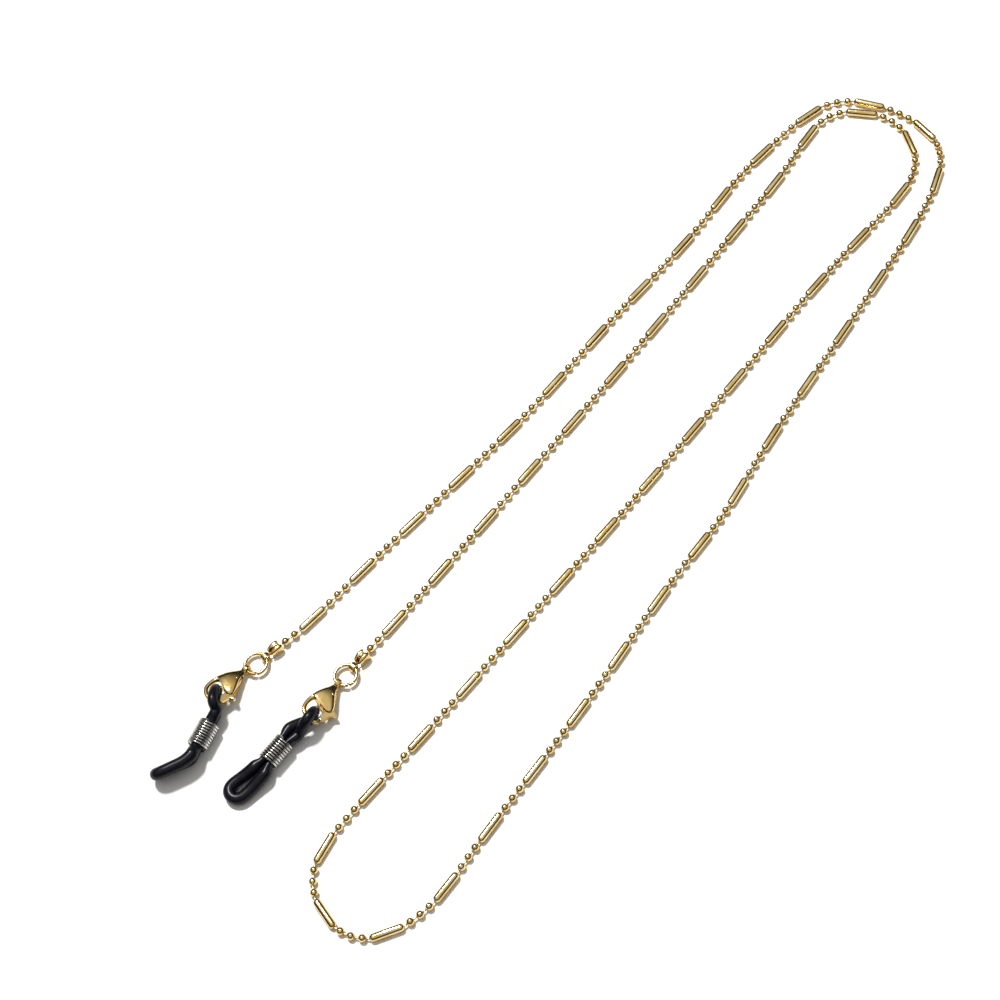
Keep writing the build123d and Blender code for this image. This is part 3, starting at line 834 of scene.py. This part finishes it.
def lobe_points(mouth, axis, roll, half_gap, straight, stations):
    """Control points down one strand of a lobe, and those back up the other."""
    near, far, before = [], [], mouth - axis
    first = (mouth + axis * straight, half_gap, roll)
    for middle, half, angle in [(mouth, half_gap, roll), first] + stations:
        across = lateral((middle - before).normalized(), angle) * half
        near.append(middle + across)
        far.append(middle - across)
        before = middle
    return near, far


def rounded(controls, passes):
    """A closed smooth curve from its control points: corners are cut again and again."""
    values = np.array(controls, float)
    for _ in range(passes):
        after = np.roll(values, -1, axis=0)
        cut = np.empty((2 * len(values), values.shape[1]))
        cut[0::2] = 0.75 * values + 0.25 * after
        cut[1::2] = 0.25 * values + 0.75 * after
        values = cut
    for _ in range(6):
        values = 0.5 * values + 0.25 * (np.roll(values, 1, axis=0) + np.roll(values, -1, axis=0))
    return values


def make_rubber(side, clasp, spot, coil, axis):
    """One closed ring of cord: through the coil, round the large lobe, back, round the hook."""
    spec = ENDS[side]
    shift = coil - Vector(spec["coil"])
    across = lateral(axis, spec["coil_roll"])
    end_x, end_y = spec["hook_end"]
    hook_end = clasp @ Vector((end_x * CLASP_UNIT, end_y * CLASP_UNIT, 0))
    hook = [(spot, spec["hook_half"], 180 - spec["hook_roll"]),
            (hook_end, HOOK_LOBE_END_HALF, 180 - spec["hook_roll"])]
    large = [(Vector((x, y, z)) + shift, half, roll) for x, y, z, half, roll in spec["large"]]
    reach = SQUEEZE_MARGIN + SQUEEZE_LENGTH
    slim = [(radius, radius) for radius in SLIM_RADII]
    large_near, large_far = lobe_points(
        coil + axis * (COIL_LENGTH + reach), axis, spec["coil_roll"],
        LOBE_CORD + STRAND_GAP / 2, LOBE_STRAIGHT, large)
    hook_near, hook_far = lobe_points(
        coil - axis * reach, -axis, 180 - spec["coil_roll"],
        slim[0][0] + STRAND_GAP / 2, spec["hook_straight"], hook)
    inside = [coil + axis * place for place in (-SQUEEZE_MARGIN, COIL_LENGTH * 0.25,
                                                COIL_LENGTH * 0.75, COIL_LENGTH + SQUEEZE_MARGIN)]
    # each control point carries the cord's half sizes: (x, y, z, half across, half deep)
    controls = [(*(point + across * SQUEEZE_OFFSET), *SQUEEZE_HALF) for point in inside]
    controls += [(*point, LOBE_CORD, LOBE_CORD) for point in large_near + large_far[::-1]]
    controls += [(*(point - across * SQUEEZE_OFFSET), *SQUEEZE_HALF) for point in inside[::-1]]
    controls += [(*point, *size) for point, size in zip(hook_far + hook_near[::-1],
                                                        slim + slim[::-1])]
    path = rounded(controls, 4)
    centres = [Vector(row[:3]) for row in path]
    tangents, sides = carried_frames(centres, True)
    count, points = 24, []
    for centre, tangent, first, row in zip(centres, tangents, sides, path):
        flat = across - tangent * across.dot(tangent)
        flat = flat.normalized() if flat.length > 0.2 else first
        deep = tangent.cross(flat)
        second = tangent.cross(first)
        for step in range(count):
            angle = 2 * math.pi * step / count
            ray = first * math.cos(angle) + second * math.sin(angle)
            points.append(centre + flat * (ray.dot(flat) * row[3])
                          + deep * (ray.dot(deep) * row[4]))
    faces = ring_faces(len(centres), count, False)
    # the last ring joins the first with whatever twist has built up round the loop
    first, last = points[:count], points[-count:]
    offset = min(range(count), key=lambda k: sum(
        (last[i] - first[(i + k) % count]).length for i in range(count)))
    end = (len(centres) - 1) * count
    for i in range(count):
        j = (i + 1) % count
        faces.append([end + i, end + j, (j + offset) % count, (i + offset) % count])
    build = Build()
    build.add(points, faces)
    place_piece(build.make(side + "_rubber_loop_detail"), BLACK_RUBBER, "black_rubber",
                side + "_loop", side + "_rubber_loop")


def make_coil(side, coil, axis):
    """Ten close-wound turns. The wire's end by the hook stands proud, as it was cut."""
    base = frame_at(coil, axis)
    mean = COIL_BORE + COIL_WIRE / 2
    wire = COIL_WIRE / 2 * COIL_THINNING
    start = math.radians(COIL_START)
    # half a turn more than the pitch needs, so that both end turns lie flat
    turns = (COIL_LENGTH - COIL_WIRE) / COIL_WIRE + 0.55
    points = []
    for k in range(-4, int(turns * COIL_STEPS) + 1):
        angle = start + 2 * math.pi * k / COIL_STEPS
        height = min(max(COIL_WIRE / 2, COIL_WIRE / 2 + COIL_WIRE * (k / COIL_STEPS - 0.27)),
                     COIL_LENGTH - COIL_WIRE / 2)
        reach = mean + COIL_PROUD * k * k if k < 0 else mean
        points.append(Vector((height, reach * math.cos(angle), reach * math.sin(angle))))
    build = Build()
    build.add(*tube([base @ point for point in points], wire, sides=14))
    place_piece(build.make(side + "_coil_slider_detail", sharp=60), STEEL_WIRE, "steel_wire",
                side + "_coil", side + "_coil_slider")


def make_end(side):
    spec = ENDS[side]
    loop_centre, eye = pivot_of(side + "_ring_swing"), pivot_of(side + "_clasp_swing")
    make_crimp(side)
    make_ring(side, loop_centre)
    base = clasp_plane(side, eye)
    make_clasp_body(side, base)
    make_lever(side, base)
    make_pin_and_spring(side, base)
    axis = heading(spec["coil_heading"], spec["coil_pitch"])
    low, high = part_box(side + "_coil_slider")
    coil = (low + high) / 2 / MM - axis * (COIL_LENGTH / 2)
    make_rubber(side, base, pivot_of(side + "_loop_swing"), coil, axis)
    make_coil(side, coil, axis)


make_end("left")
make_end("right")


# ---- floor and light, in metres ----

FLOOR_HALF, FLOOR_LEVEL = 0.6, -0.00002
WORLD_STRENGTH = 0.72
WORLD_LOW, WORLD_HIGH = (0.02, 0.018, 0.015, 1), (1.0, 0.99, 0.97, 1)
WORLD_STOPS = ((0.50, 0.05), (0.66, 0.42), (0.80, 0.92))


def make_floor():
    size = FLOOR_HALF
    mesh = bpy.data.meshes.new("floor")
    corners = [(-size, -size), (size, -size), (size, size), (-size, size)]
    mesh.from_pydata([(x, y, FLOOR_LEVEL) for x, y in corners], [], [[0, 1, 2, 3]])
    floor = bpy.data.objects.new("floor", mesh)
    bpy.context.scene.collection.objects.link(floor)
    material = new_material("floor_card", Roughness=0.55, IOR=1.45)
    nodes = Nodes(material)
    tone = nodes.ramp(nodes.noise(40, 2), [(0.3, (0.90, 0.90, 0.895)),
                                           (0.7, (0.915, 0.915, 0.91))])
    nodes.join(tone, nodes.shader.inputs["Base Color"])
    mesh.materials.append(material)


def make_light(name, direction, distance, size, power, colour):
    """A round area light aimed at the middle of the part."""
    data = bpy.data.lights.new(name, "AREA")
    data.shape, data.size, data.energy, data.color = "DISK", size, power, colour
    light = bpy.data.objects.new(name, data)
    bpy.context.scene.collection.objects.link(light)
    place = direction.normalized() * distance
    light.matrix_world = Matrix.Translation(place) @ (
        (-place).to_track_quat("-Z", "Y").to_matrix().to_4x4())


def make_world():
    """Soft white above, darker towards the horizon. The camera itself sees plain white."""
    world = bpy.data.worlds.new("studio")
    bpy.context.scene.world = world
    world.use_nodes = True
    tree = world.node_tree
    shade = tree.nodes["Background"]
    where = tree.nodes.new("ShaderNodeTexCoord")
    split = tree.nodes.new("ShaderNodeSeparateXYZ")
    ramp = tree.nodes.new("ShaderNodeValToRGB")
    tree.links.new(where.outputs["Generated"], split.inputs["Vector"])
    tree.links.new(split.outputs["Z"], ramp.inputs["Fac"])
    stops = ramp.color_ramp.elements
    stops[0].position, stops[0].color = 0.0, WORLD_LOW
    stops[1].position, stops[1].color = 1.0, WORLD_HIGH
    for height, value in WORLD_STOPS:
        stops.new(height).color = (value, value * 0.99, value * 0.96, 1)
    tree.links.new(ramp.outputs["Color"], shade.inputs["Color"])
    shade.inputs["Strength"].default_value = WORLD_STRENGTH
    white = tree.nodes.new("ShaderNodeBackground")
    white.inputs["Color"].default_value = (1, 1, 1, 1)
    path = tree.nodes.new("ShaderNodeLightPath")
    either = tree.nodes.new("ShaderNodeMixShader")
    tree.links.new(path.outputs["Is Camera Ray"], either.inputs["Fac"])
    tree.links.new(shade.outputs["Background"], either.inputs[1])
    tree.links.new(white.outputs["Background"], either.inputs[2])
    tree.links.new(either.outputs["Shader"], tree.nodes["World Output"].inputs["Surface"])


make_floor()
make_light("key", Vector((0.305, 0.952, 2.15)), distance=1.1, size=0.16, power=12.6,
           colour=(1.0, 0.985, 0.96))
make_world()
bpy.context.scene.view_settings.view_transform = "Standard"
